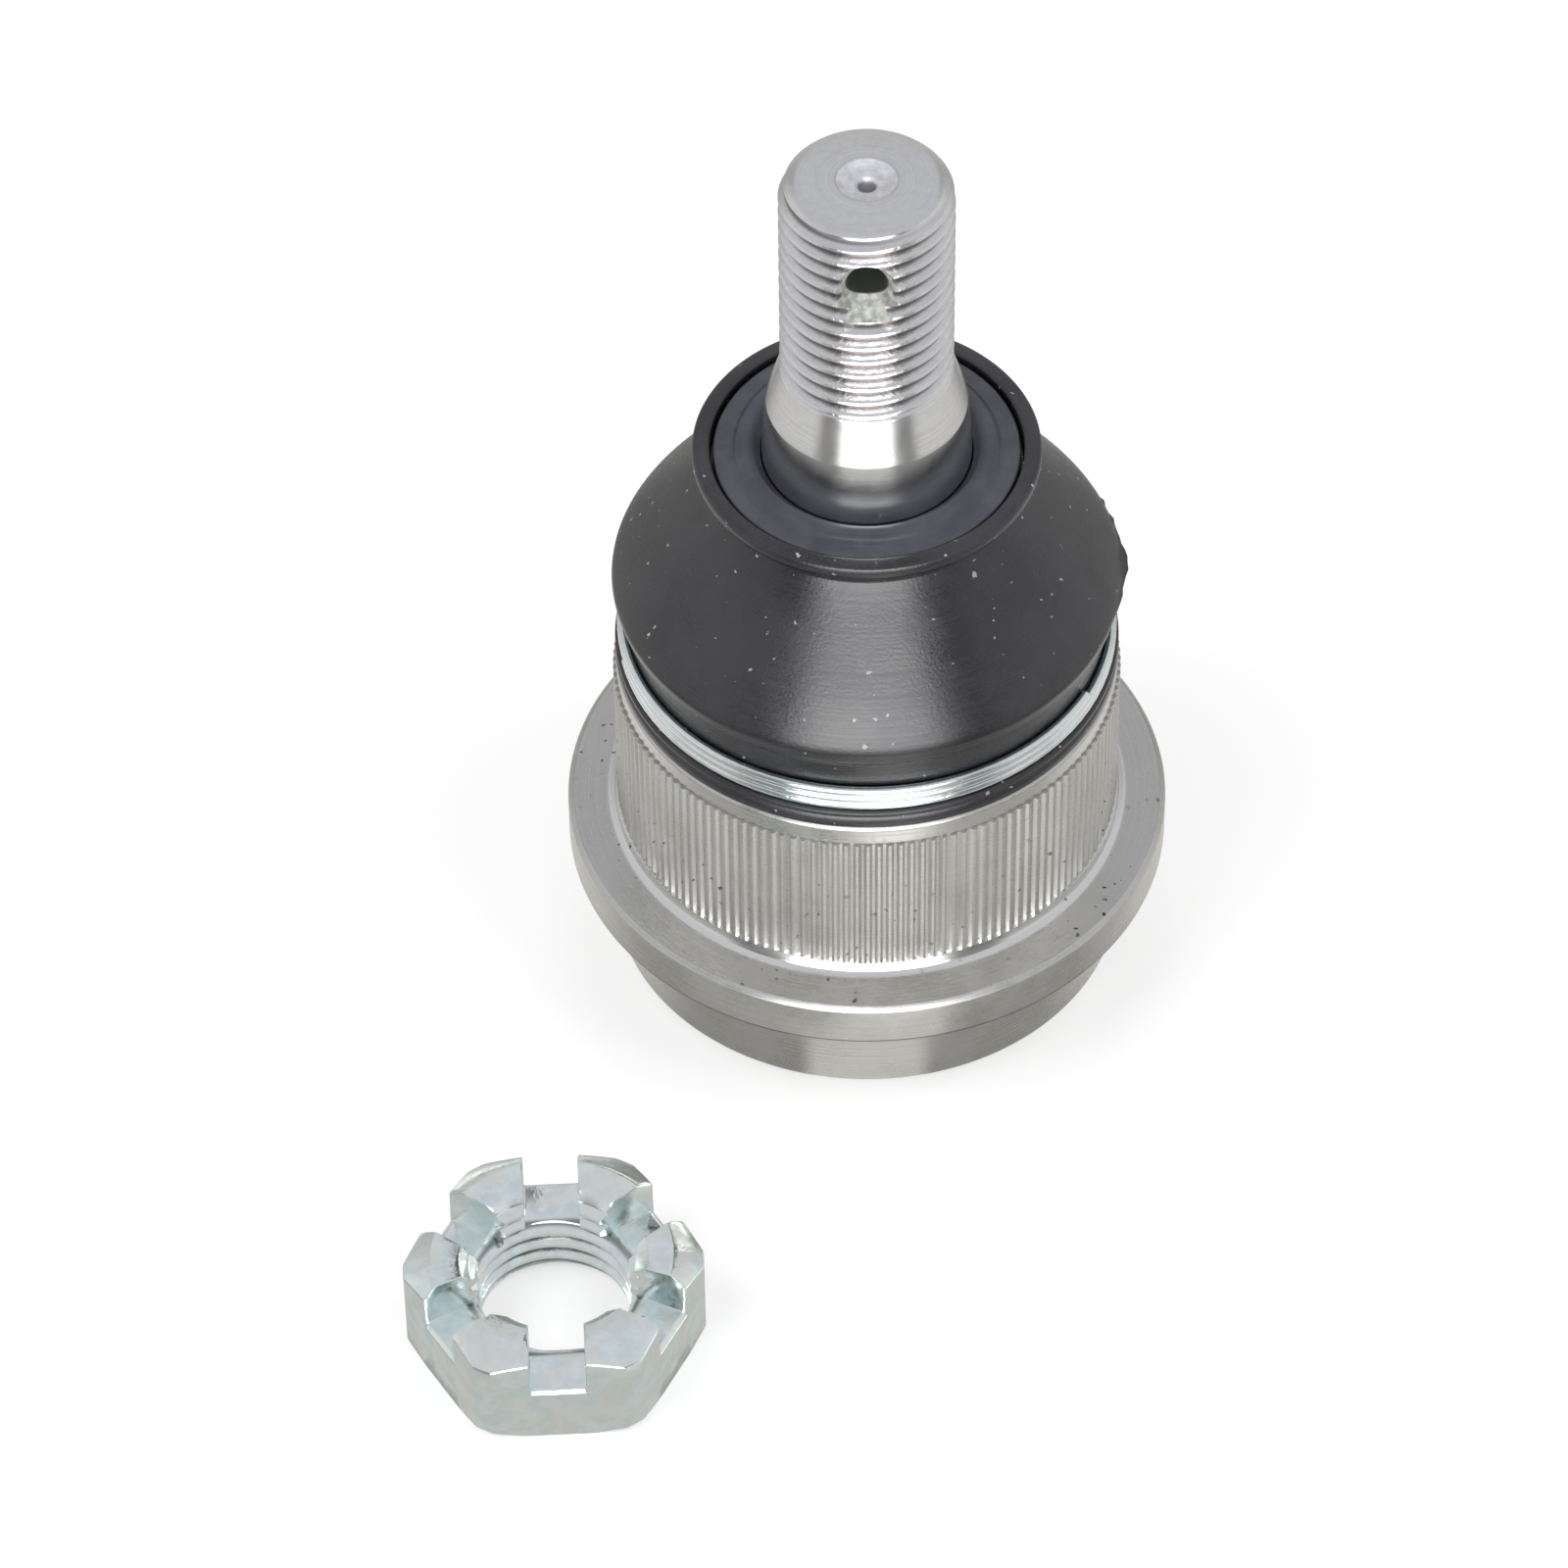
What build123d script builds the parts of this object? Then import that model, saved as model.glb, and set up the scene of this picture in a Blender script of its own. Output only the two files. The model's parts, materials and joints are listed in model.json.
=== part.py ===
from build123d import *
from math import cos, radians, sin, sqrt, tan
import os

# A press-in suspension ball joint that stands on its hub, with its castle nut lying beside it.
# Millimetres, +Z up along the barrel. The origin is the centre of the ball, inside the barrel.
# Everything round is a profile of (radius, height) points, revolved about the Z axis.

# Ball and bearing
ball_radius = 13.0
ball_clearance = 0.05  # between the ball and its seat
bearing_wall = 3.9  # at the ball's equator
bearing_clearance = 0.05  # between the bearing and the housing, all round
bearing_floor = 1.9  # under the ball
bearing_split = 0.6  # gap between the two bearing halves, taken up by the spring
upper_bearing_height = 10.4
lower_seat_opening = 5.0
grease_groove_width = 1.6
grease_groove_depth = 0.9
grease_groove_count = 4

# Swing of the stud
swing_limit = 20.0  # degrees to each side
swing_margin = 3.0  # degrees more that the mouth allows
mouth_relief = 0.3  # how far the housing's mouth stands back from the bearing's

# Housing
barrel_wall = 4.2
root_fillet = 1.0
knurl_length = 14.5
knurl_step = 0.25  # height of the knurl over the plain land
land_length = 1.9
land_chamfer = 0.3
ball_above_flange = 7.0
flange_overhang = 4.2
flange_thickness = 4.4
flange_chamfer = 0.46
flange_under_chamfer = 0.3
hub_step = 0.5  # how far the hub stands out past the knurl
hub_chamfer = 0.6
rim_width = 2.0
rim_below_lip = 0.7
boot_groove_depth = 2.75
boot_groove_length = 4.7
spigot_lip_reach = 0.7
spigot_lip_height = 0.9
spigot_chamfer = 0.5

# Cover and preload spring
cover_thickness = 2.2
cover_ledge = 1.0  # how far the cover is wider than the bore
cover_gap = 0.02
cover_dish_radius = 7.0
cover_dish_rise = 0.8
crimp_thickness = 1.0
crimp_reach = 1.4
spring_thickness = 1.3
spring_rise = 0.7
spring_inner_radius = 8.5
spring_side_gap = 0.3

# Boot and its clamp ring
boot_height = 23.3
boot_gap = 0.05  # between the boot and the housing
boot_bead_height = 1.8
wire_diameter = 0.85
wire_overlap = 0.05  # how far neighbouring turns press into each other
wire_turns = 3
wire_squeeze = 1.05  # how far the wire's inside lies below the bead
wire_end_angle = 28.0  # degrees in front of +X where the top turn starts
wire_last_turn = 300.0  # degrees of the top turn
boot_band_height = 2.4
boot_band_step = 0.95  # how far the band above the wire stands back from the bead
boot_shoulder_gap = 0.15  # the boot passes through the bore that the barrel is pressed into
boot_shoulder_rise = 2.1
boot_shoulder_bulge = 0.25  # the shoulder's roundness, inwards of its widest circle
boot_dome_rise = 1.7  # how far the dome climbs straight up before it rolls over
boot_wall = 2.2
boot_neck_radius = 12.6
boot_neck_drop = 3.0
boot_neck_flare = 0.3
boot_neck_run = 1.0
boot_rim_radius = 14.2
boot_rim_thickness = 1.2
boot_rim_width = 1.45
boot_lip_height = 1.6
boot_lip_gap = 0.3  # between the boot's lip and the stud

# Washer in the mouth of the boot
washer_side_gap = 0.25
washer_recess = 0.4
washer_thickness = 1.1
washer_seat_gap = 0.3
washer_bore_gap = 0.1
washer_lip_width = 2.6
washer_lip_height = 0.6

# Ball stud
neck_radius = 7.0
neck_fillet = 0.8
neck_above_mouth = 2.0
neck_flare_height = 5.0
ball_flat_radius = 4.5
taper_small_radius = 8.2
taper_slope = 1 / 16  # radius per unit of length, a 1:8 taper
taper_exposed = 5.8
cone_length = 3.9
thread_radius = 7.0
thread_length = 18.7
stud_end_chamfer = 1.1
stud_end_chamfer_length = 1.2
cotter_hole_radius = 1.65
cotter_hole_below_end = 5.9
cotter_countersink_radius = 3.6
centre_mark_radius = 2.7
centre_mark_depth = 1.0
centre_drill_radius = 0.8
centre_drill_depth = 2.2

# Castle nut
nut_flats = 22.0
nut_corners = 24.5
nut_height = 9.8
nut_slot_floor = 5.7
nut_slot_width = 4.5
nut_crown_radius = 9.9
nut_crown_slope = 32.0  # degrees of the crown's outer chamfer below level
nut_dish_radius = 7.6
nut_dish_depth = 0.45  # how far the crown falls inwards to the countersunk bore
nut_base_chamfer_height = 0.5
nut_base_chamfer_width = 1.0
nut_bore_radius = 6.19
nut_bore_chamfer = 0.9
nut_centre = (-25.45, -47.95)
nut_turn = 3.2  # degrees that the nut is turned from square

# Radii that follow
seat_radius = ball_radius + ball_clearance
bearing_radius = seat_radius + bearing_wall
bore_radius = bearing_radius + bearing_clearance
barrel_radius = bore_radius + barrel_wall
land_radius = barrel_radius - knurl_step
flange_radius = barrel_radius + flange_overhang
hub_radius = barrel_radius + hub_step
groove_radius = land_radius - boot_groove_depth
spigot_radius = groove_radius + spigot_lip_reach
cover_radius = bore_radius + cover_ledge
wire_pitch = wire_diameter - wire_overlap

# Heights that follow, from the ball's centre
shoulder_z = upper_bearing_height + bearing_clearance
flange_top = -ball_above_flange
flange_bottom = flange_top - flange_thickness
knurl_top = flange_top + root_fillet + knurl_length
barrel_top = knurl_top + land_length
groove_top = barrel_top + boot_groove_length
spigot_top = groove_top + spigot_lip_height
lower_bearing_bottom = -(seat_radius + bearing_floor)
spring_top = lower_bearing_bottom - bearing_clearance
cover_top = spring_top - spring_rise - spring_thickness
cover_bottom = cover_top - cover_thickness
lip_bottom = cover_bottom - crimp_thickness
hub_bottom = lip_bottom - rim_below_lip
boot_rim_top = barrel_top + boot_height
washer_top = boot_rim_top - washer_recess
washer_bottom = washer_top - washer_thickness
taper_top = washer_top + taper_exposed
thread_start = taper_top + cone_length
thread_end = thread_start + thread_length
stud_end = thread_end + stud_end_chamfer_length
cotter_z = stud_end - cotter_hole_below_end


def swing_radius(height):
    """Radius that the neck needs at this height, tilted to the limit and the margin more."""
    angle = radians(swing_limit + swing_margin)
    return height * tan(angle) + neck_radius / cos(angle)


def taper_radius(height):
    """Radius of the stud's taper at this height."""
    return taper_small_radius + taper_slope * (taper_top - height)


def seat_opening_height():
    """Height at which the spherical seat meets the cone that clears the neck."""
    angle = radians(swing_limit + swing_margin)
    offset = neck_radius / cos(angle)
    slope = tan(angle)
    a = 1 + slope * slope
    b = slope * offset
    return (sqrt(b * b - a * (offset * offset - seat_radius**2)) - b) / a


# The housing: knurled barrel, stop flange and hub, bored from below, with the cover crimped in
with BuildPart() as housing:
    with BuildSketch(Plane.XZ):
        with BuildLine():
            Polyline(
                (cover_radius - crimp_reach, lip_bottom),
                (hub_radius - rim_width, hub_bottom),
                (hub_radius - hub_chamfer, hub_bottom),
                (hub_radius, hub_bottom + hub_chamfer),
                (hub_radius, flange_bottom),
                (flange_radius - flange_under_chamfer, flange_bottom),
                (flange_radius, flange_bottom + flange_under_chamfer),
                (flange_radius, flange_top - flange_chamfer),
                (flange_radius - flange_chamfer, flange_top),
                (barrel_radius, flange_top),
                (barrel_radius, knurl_top),
                (land_radius, knurl_top + knurl_step),
                (land_radius, barrel_top - land_chamfer),
                (land_radius - land_chamfer, barrel_top),
                (groove_radius, barrel_top),
                (groove_radius, groove_top),
                (spigot_radius, groove_top),
                (spigot_radius, spigot_top - spigot_chamfer),
                (spigot_radius - spigot_chamfer, spigot_top),
                (swing_radius(spigot_top) + mouth_relief, spigot_top),
                (swing_radius(shoulder_z) + mouth_relief, shoulder_z),
                (bore_radius, shoulder_z),
                (bore_radius, cover_top),
                (cover_radius + cover_gap, cover_top),
                (cover_radius + cover_gap, cover_bottom),
                (cover_radius - crimp_reach, cover_bottom),
                close=True,
            )
        make_face()
    revolve(axis=Axis.Z)
    flange_circles = housing.edges().filter_by_position(Axis.Z, flange_top, flange_top)
    fillet(flange_circles.sort_by(SortBy.RADIUS)[0], root_fillet)

# The cover plate, dished inwards, under the crimped lip
with BuildPart() as cover_plate:
    with BuildSketch(Plane.XZ):
        with BuildLine():
            Polyline(
                (0, cover_bottom + cover_dish_rise),
                (cover_dish_radius, cover_bottom + cover_dish_rise),
                (cover_dish_radius + cover_dish_rise, cover_bottom),
                (cover_radius, cover_bottom),
                (cover_radius, cover_top),
                (cover_dish_radius + cover_dish_rise, cover_top),
                (cover_dish_radius, cover_top + cover_dish_rise),
                (0, cover_top + cover_dish_rise),
                close=True,
            )
        make_face()
    revolve(axis=Axis.Z)

# The disc spring: its outer edge stands on the cover, its inner edge lifts the bearing
with BuildPart() as disc_spring:
    spring_outer_radius = bore_radius - spring_side_gap
    with BuildSketch(Plane.XZ):
        with BuildLine():
            Polyline(
                (spring_outer_radius, cover_top),
                (spring_outer_radius, cover_top + spring_thickness),
                (spring_inner_radius, spring_top),
                (spring_inner_radius, spring_top - spring_thickness),
                close=True,
            )
        make_face()
    revolve(axis=Axis.Z)

# The two bearing halves, with the ball's seat and grease grooves in it
with BuildPart() as upper_bearing:
    seat_top = seat_opening_height()
    seat_start = bearing_split / 2
    seat_start_radius = sqrt(seat_radius**2 - seat_start**2)
    seat_middle = (seat_start + seat_top) / 2
    with BuildSketch(Plane.XZ):
        with BuildLine():
            Polyline(
                (seat_start_radius, seat_start),
                (bearing_radius, seat_start),
                (bearing_radius, upper_bearing_height),
                (swing_radius(upper_bearing_height), upper_bearing_height),
                (swing_radius(seat_top), seat_top),
            )
            ThreePointArc(
                (swing_radius(seat_top), seat_top),
                (sqrt(seat_radius**2 - seat_middle**2), seat_middle),
                (seat_start_radius, seat_start),
            )
        make_face()
    revolve(axis=Axis.Z)
    with BuildSketch(Plane.XY):
        with PolarLocations(seat_radius / 2, grease_groove_count):
            Rectangle(seat_radius + 2 * grease_groove_depth, grease_groove_width)
    extrude(amount=seat_middle, mode=Mode.SUBTRACT)

with BuildPart() as lower_bearing:
    opening_z = -sqrt(seat_radius**2 - lower_seat_opening**2)
    lower_middle = opening_z / 2
    with BuildSketch(Plane.XZ):
        with BuildLine():
            Polyline(
                (lower_seat_opening, opening_z),
                (lower_seat_opening, lower_bearing_bottom),
                (bearing_radius, lower_bearing_bottom),
                (bearing_radius, -seat_start),
                (seat_start_radius, -seat_start),
            )
            ThreePointArc(
                (seat_start_radius, -seat_start),
                (sqrt(seat_radius**2 - lower_middle**2), lower_middle),
                (lower_seat_opening, opening_z),
            )
        make_face()
    revolve(axis=Axis.Z)
    with BuildSketch(Plane.XY):
        with PolarLocations(seat_radius / 2, grease_groove_count):
            Rectangle(seat_radius + 2 * grease_groove_depth, grease_groove_width)
    extrude(amount=lower_middle, mode=Mode.SUBTRACT)

# The ball stud: ball, neck, taper, threaded end with its cotter hole
with BuildPart() as ball_stud:
    ball_flat_z = -sqrt(ball_radius**2 - ball_flat_radius**2)
    neck_start = sqrt((ball_radius + neck_fillet) ** 2 - (neck_radius + neck_fillet) ** 2)
    ball_share = ball_radius / (ball_radius + neck_fillet)
    ball_end = ((neck_radius + neck_fillet) * ball_share, neck_start * ball_share)
    neck_end = spigot_top + neck_above_mouth
    taper_base = neck_end + neck_flare_height
    with BuildSketch(Plane.XZ):
        with BuildLine():
            Polyline((0, stud_end), (0, ball_flat_z), (ball_flat_radius, ball_flat_z))
            ThreePointArc(
                (ball_flat_radius, ball_flat_z),
                (ball_radius, 0),
                ball_end,
            )
            TangentArc((neck_radius, neck_start), ball_end, tangent=(0, -1))
            Line((neck_radius, neck_start), (neck_radius, neck_end))
            Bezier(
                (neck_radius, neck_end),
                (neck_radius, neck_end + neck_flare_height / 2),
                (taper_radius(taper_base), taper_base - neck_flare_height / 2),
                (taper_radius(taper_base), taper_base),
            )
            Polyline(
                (taper_radius(taper_base), taper_base),
                (taper_small_radius, taper_top),
                (thread_radius, thread_start),
                (thread_radius, thread_end),
                (thread_radius - stud_end_chamfer, stud_end),
                (0, stud_end),
            )
        make_face()
    revolve(axis=Axis.Z)
    # the cotter hole, countersunk where it breaks out through the thread on both sides
    for side in (1, -1):
        mouth = Plane(origin=(0, side * thread_radius, cotter_z), z_dir=(0, side, 0))
        with Locations(mouth):
            CounterSinkHole(
                radius=cotter_hole_radius,
                counter_sink_radius=cotter_countersink_radius,
                depth=thread_radius,
                counter_sink_angle=90,
            )
    # the centre mark left by turning, with its pilot hole
    with BuildSketch(Plane.XZ):
        with BuildLine():
            Polyline(
                (0, stud_end),
                (centre_mark_radius, stud_end),
                (centre_drill_radius, stud_end - centre_mark_depth),
                (centre_drill_radius, stud_end - centre_drill_depth),
                (0, stud_end - centre_drill_depth - centre_drill_radius),
                close=True,
            )
        make_face()
    revolve(axis=Axis.Z, mode=Mode.SUBTRACT)

# The rubber boot: bead on the barrel, groove for the clamp ring, dome, neck and open mouth
with BuildPart() as boot:
    bead_top = barrel_top + boot_bead_height
    clamp_radius = land_radius - wire_squeeze
    clamp_top = bead_top + wire_pitch * (wire_turns - 1) + wire_diameter
    band_radius = land_radius - boot_band_step
    band_top = clamp_top + boot_band_height
    shoulder_radius = barrel_radius - boot_shoulder_gap
    boot_shoulder_z = band_top + boot_shoulder_rise
    neck_z = boot_rim_top - boot_neck_drop
    rim_underside = boot_rim_top - boot_rim_thickness
    mouth_radius = boot_rim_radius - boot_rim_width
    seat_z = washer_bottom - washer_seat_gap
    lip_radius = taper_radius(seat_z) + boot_lip_gap
    lip_z = seat_z - boot_lip_height
    inner_neck_radius = boot_neck_radius - boot_wall
    inner_shoulder_radius = spigot_radius + boot_gap
    with BuildSketch(Plane.XZ):
        with BuildLine():
            Polyline(
                (groove_radius + boot_gap, barrel_top),
                (land_radius, barrel_top),
                (land_radius, bead_top),
                (clamp_radius, bead_top),
                (clamp_radius, clamp_top),
                (band_radius, clamp_top),
                (band_radius, band_top),
            )
            ThreePointArc(
                (band_radius, band_top),
                (shoulder_radius - boot_shoulder_bulge, (band_top + boot_shoulder_z) / 2),
                (shoulder_radius, boot_shoulder_z),
            )
            Bezier(
                (shoulder_radius, boot_shoulder_z),
                (shoulder_radius, boot_shoulder_z + boot_dome_rise),
                (boot_neck_radius + boot_neck_flare, neck_z - boot_neck_run),
                (boot_neck_radius, neck_z),
            )
            Polyline(
                (boot_neck_radius, neck_z),
                (boot_rim_radius, rim_underside),
                (boot_rim_radius, boot_rim_top),
                (mouth_radius, boot_rim_top),
                (mouth_radius, seat_z),
                (lip_radius, seat_z),
                (lip_radius, lip_z),
                (inner_neck_radius, neck_z - boot_wall),
                (inner_shoulder_radius, boot_shoulder_z),
                (inner_shoulder_radius, groove_top - boot_gap),
                (groove_radius + boot_gap, groove_top - boot_gap),
                (groove_radius + boot_gap, barrel_top),
            )
        make_face()
    revolve(axis=Axis.Z)

# The clamp ring: a coil of wire that holds the boot's base in the housing's groove
with BuildPart() as boot_clamp_ring:
    coil_radius = clamp_radius + wire_diameter / 2
    first_turn_z = bead_top + wire_diameter / 2
    last_turn_z = first_turn_z + (wire_turns - 1) * wire_pitch
    with BuildSketch(Plane.XZ):
        for turn in range(wire_turns - 1):
            with Locations((coil_radius, first_turn_z + turn * wire_pitch)):
                Circle(wire_diameter / 2)
    revolve(axis=Axis.Z)
    with BuildSketch(Plane.XZ.rotated((0, 0, -wire_end_angle))):
        with Locations((coil_radius, last_turn_z)):
            Circle(wire_diameter / 2)
    revolve(axis=Axis.Z, revolution_arc=-wire_last_turn)

# The washer that closes the boot's mouth around the stud
with BuildPart() as boot_washer:
    washer_radius = mouth_radius - washer_side_gap
    washer_bore_top = taper_radius(washer_top) + washer_bore_gap
    washer_bore_bottom = taper_radius(washer_bottom) + washer_bore_gap
    with BuildSketch(Plane.XZ):
        with BuildLine():
            ThreePointArc(
                (washer_bore_top, washer_top),
                (washer_bore_top + washer_lip_width / 2, washer_top + washer_lip_height),
                (washer_bore_top + washer_lip_width, washer_top),
            )
            Polyline(
                (washer_bore_top + washer_lip_width, washer_top),
                (washer_radius, washer_top),
                (washer_radius, washer_bottom),
                (washer_bore_bottom, washer_bottom),
                (washer_bore_top, washer_top),
            )
        make_face()
    revolve(axis=Axis.Z)

# The castle nut: a hexagon with a turned and dished crown, cut by three slots across its flats
with BuildPart() as castle_nut:
    nut_angle = radians(nut_turn)
    nut_x = (cos(nut_angle), sin(nut_angle), 0)
    nut_base = Plane(origin=(*nut_centre, hub_bottom), x_dir=nut_x, z_dir=(0, 0, 1))
    nut_section = Plane(origin=nut_base.origin, x_dir=nut_base.x_dir, z_dir=-nut_base.y_dir)
    nut_axis = Axis(nut_base.origin, (0, 0, 1))
    corner_radius = nut_corners / 2
    crown_edge_z = nut_height - (corner_radius - nut_crown_radius) * tan(radians(nut_crown_slope))
    dish_z = nut_height - nut_dish_depth
    with BuildSketch(nut_base):
        RegularPolygon(nut_flats / 2, side_count=6, major_radius=False)
    extrude(amount=nut_height)
    with BuildSketch(nut_section):
        with BuildLine():
            Polyline(
                (nut_bore_radius, nut_bore_chamfer),
                (nut_bore_radius + nut_bore_chamfer, 0),
                (corner_radius - nut_base_chamfer_width, 0),
                (corner_radius, nut_base_chamfer_height),
                (corner_radius, crown_edge_z),
                (nut_crown_radius, nut_height),
                (nut_dish_radius, dish_z),
                (nut_bore_radius, dish_z - (nut_dish_radius - nut_bore_radius)),
                close=True,
            )
        make_face()
    revolve(axis=nut_axis, mode=Mode.INTERSECT)
    with BuildSketch(nut_base.offset(nut_slot_floor)):
        for slot_angle in (30, 90, 150):
            Rectangle(nut_corners, nut_slot_width, rotation=slot_angle)
    extrude(amount=nut_height, mode=Mode.SUBTRACT)

pieces = {
    "housing": housing,
    "cover_plate": cover_plate,
    "disc_spring": disc_spring,
    "upper_bearing": upper_bearing,
    "lower_bearing": lower_bearing,
    "ball_stud": ball_stud,
    "boot": boot,
    "boot_clamp_ring": boot_clamp_ring,
    "boot_washer": boot_washer,
    "castle_nut": castle_nut,
}
os.makedirs("parts", exist_ok=True)
for label, piece in pieces.items():
    piece.part.label = label
    export_step(piece.part, f"parts/{label}.step")

# The surfaces that a stranger's part fits
print(f"press fit: radius {barrel_radius:.2f}, from {flange_top + root_fillet:.2f} to {knurl_top:.2f}")
print(f"taper: radius {taper_small_radius:.2f} at {taper_top:.2f}, growing downwards")
print(f"thread: radius {thread_radius:.2f}, from {thread_start:.2f} to {thread_end:.2f}")
print(f"cotter hole: radius {cotter_hole_radius:.2f} at {cotter_z:.2f}; nut stands at {hub_bottom:.2f}")
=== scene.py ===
# %% [markdown]
# # A press-in ball joint and its castle nut
#
# A suspension ball joint carries a steering knuckle on a steel ball. Its barrel is pressed into
# an arm, and its tapered stud is drawn into the knuckle by a castle nut. Here each visible piece
# is modelled with Blender's own operators round a fixed frame of working parts: the frame brings
# the sizes, the places and what moves, and this script brings the shapes and finishes that the
# eye sees. The frame is loaded first, and its box is kept, because nothing may outgrow it.

# %% The frame
import json
import random
from math import asin, atan2, ceil, cos, hypot, pi, radians, sin, tan

import bmesh
import bpy
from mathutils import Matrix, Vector


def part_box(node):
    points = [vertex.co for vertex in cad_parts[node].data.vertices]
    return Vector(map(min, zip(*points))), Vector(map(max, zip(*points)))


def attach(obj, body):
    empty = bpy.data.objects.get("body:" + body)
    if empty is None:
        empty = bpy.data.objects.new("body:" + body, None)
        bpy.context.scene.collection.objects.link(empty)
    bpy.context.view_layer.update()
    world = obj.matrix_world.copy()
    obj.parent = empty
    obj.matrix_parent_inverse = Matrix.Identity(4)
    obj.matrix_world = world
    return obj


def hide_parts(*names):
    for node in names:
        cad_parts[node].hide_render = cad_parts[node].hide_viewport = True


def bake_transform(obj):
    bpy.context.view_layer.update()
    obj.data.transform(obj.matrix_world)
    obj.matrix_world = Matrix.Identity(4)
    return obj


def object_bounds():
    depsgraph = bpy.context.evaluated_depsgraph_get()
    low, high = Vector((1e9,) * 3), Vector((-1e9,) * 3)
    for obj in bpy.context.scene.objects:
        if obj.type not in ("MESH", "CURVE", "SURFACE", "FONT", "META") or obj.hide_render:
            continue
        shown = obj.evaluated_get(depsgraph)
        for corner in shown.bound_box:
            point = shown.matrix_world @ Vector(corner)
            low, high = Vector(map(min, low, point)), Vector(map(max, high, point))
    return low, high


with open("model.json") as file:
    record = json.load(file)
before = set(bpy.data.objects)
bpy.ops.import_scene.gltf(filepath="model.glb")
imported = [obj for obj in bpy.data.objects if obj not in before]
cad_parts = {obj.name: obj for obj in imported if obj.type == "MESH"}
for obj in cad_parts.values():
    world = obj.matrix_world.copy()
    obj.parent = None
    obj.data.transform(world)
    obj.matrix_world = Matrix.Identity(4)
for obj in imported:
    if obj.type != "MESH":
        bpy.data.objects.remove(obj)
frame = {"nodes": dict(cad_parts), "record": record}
frame_low, frame_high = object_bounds()
MM = 0.001
mounts = frame["record"]["mounts"]
mount_places = {mount["name"]: [value / MM for value in mount["pos_m"]] for mount in mounts}
mount_sizes = {mount["name"]: mount["dims"] for mount in mounts}
print("frame box in mm:", [round(v / MM, 2) for v in (*frame_low, *frame_high)])

# %% [markdown]
# ## The camera
#
# A small object looks natural from about arm's length through a long lens, which keeps its
# circles close to true ellipses. The camera stands in front, looks down at the barrel's axis and
# isn't turned or tilted to a side. The frame is moved a little with the lens shift, so that the
# object sits off its middle without any change in its shape.

# %% The camera
image_size = 1600  # pixels
focal_length = 7612.5  # pixels
sensor_width = 36.0
camera_elevation = radians(47.6)
camera_distance = 635 * MM
camera_target = Vector((0, 0, -7.72 * MM))
target_right_of_middle = 84.5  # pixels
target_below_middle = 5.0  # pixels

camera_data = bpy.data.cameras.new("camera")
camera_data.sensor_width = sensor_width
camera_data.lens = focal_length / image_size * sensor_width
camera_data.shift_x = -target_right_of_middle / image_size
camera_data.shift_y = target_below_middle / image_size
camera_data.clip_start, camera_data.clip_end = 10 * MM, 10.0
camera = bpy.data.objects.new("camera", camera_data)
bpy.context.scene.collection.objects.link(camera)
towards_camera = Vector((0, -cos(camera_elevation), sin(camera_elevation)))
camera.location = camera_target + camera_distance * towards_camera
camera.rotation_euler = (pi / 2 - camera_elevation, 0, 0)
bpy.context.scene.camera = camera
print("camera lens in mm:", round(camera_data.lens, 1))

# %% [markdown]
# ## Tools for modelling
#
# Nearly everything here came off a lathe, so the main tool draws an outline with a single vertex
# that is extruded from point to point, and spins it about the Z axis. Pieces are modelled in
# millimetres, which keeps the numbers readable and far from Blender's merging distances, and a
# finished piece is shrunk to metres once. An operator acts on all that is selected, so each tool
# starts by deselecting everything.

# %% Selecting
MERGE_DISTANCE = 0.002  # mm
FULL_TURN = 2 * pi


def deselect_all():
    """Leaves edit mode with nothing selected."""
    if bpy.context.mode != "OBJECT":
        bpy.ops.object.mode_set(mode="OBJECT")
    bpy.ops.object.select_all(action="DESELECT")


def select_whole_mesh():
    """Selects all of the mesh in edit mode."""
    bpy.ops.mesh.select_all(action="SELECT")


def work_on(piece):
    """Makes a piece the only selected one, and the active one."""
    deselect_all()
    piece.select_set(True)
    bpy.context.view_layer.objects.active = piece


def edit_selected(piece, wanted):
    """Opens a piece in edit mode with only the vertices for which wanted(place) is true."""
    work_on(piece)
    bpy.ops.object.mode_set(mode="EDIT")
    bpy.ops.mesh.select_mode(type="VERT")
    bpy.ops.mesh.select_all(action="DESELECT")
    mesh = bmesh.from_edit_mesh(piece.data)
    for vertex in mesh.verts:
        vertex.select = wanted(vertex.co)
    mesh.select_flush_mode()
    bmesh.update_edit_mesh(piece.data)


# %% Outlines
def outline(corners, arc_steps=4):
    """Points of an outline from its corners (radius, height, rounding), in millimetres.

    The rounding is how far before and after the corner its curve starts and ends.
    """
    points = []
    for index, (radius, height, rounding) in enumerate(corners):
        corner = Vector((radius, height))
        if rounding == 0:
            points.append(corner)
            continue
        before = Vector(corners[index - 1][:2]) - corner
        after = Vector(corners[(index + 1) % len(corners)][:2]) - corner
        start = corner + rounding * before.normalized()
        end = corner + rounding * after.normalized()
        for step in range(arc_steps + 1):
            share = step / arc_steps
            points.append(start.lerp(corner, share).lerp(corner.lerp(end, share), share))
    return points


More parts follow.
